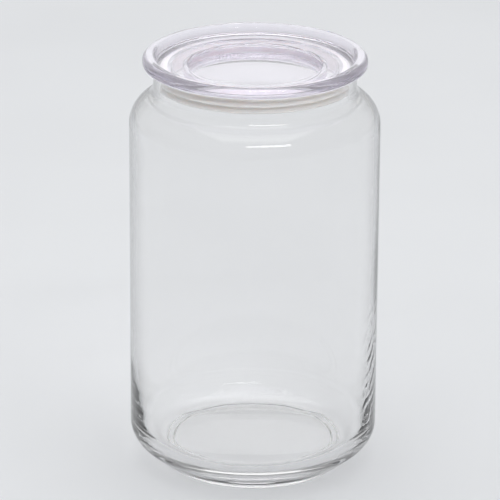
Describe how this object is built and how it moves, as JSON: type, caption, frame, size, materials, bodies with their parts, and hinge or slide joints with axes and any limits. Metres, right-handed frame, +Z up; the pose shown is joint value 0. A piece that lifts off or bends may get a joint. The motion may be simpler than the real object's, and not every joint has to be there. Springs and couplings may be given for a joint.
{
  "type": "specimen jar",
  "caption": "Clear cylindrical glass jar with a rounded shoulder and heel, closed by a press-in clear lid whose plug carries a finned gasket.",
  "frame": {"origin": "centre of the standing ring, on the surface that the jar stands on", "axes": "+Z up along the jar's axis towards the lid; the jar is round, so +X and +Y are free"},
  "size_m": [0.112, 0.112, 0.1916],
  "materials": {
    "glass": "clear soda-lime glass, fire-polished",
    "lid_plastic": "clear moulded styrene plastic with a faint lilac tint, gloss",
    "gasket_rubber": "translucent cream silicone, satin"
  },
  "bodies": {
    "jar": {"jar_body": "glass"},
    "seal": {"gasket": "gasket_rubber"},
    "lid": {"lid": "lid_plastic"}
  },
  "joints": [
    {"name": "lid_lift", "type": "slide", "parent": "jar", "child": "seal", "axis": [0, 0, 1], "range_m": [0, 0.06]},
    {"name": "lid_turn", "type": "hinge", "parent": "seal", "child": "lid", "pos_m": [0, 0, 0.184], "axis": [0, 0, 1], "continuous": true}
  ]
}
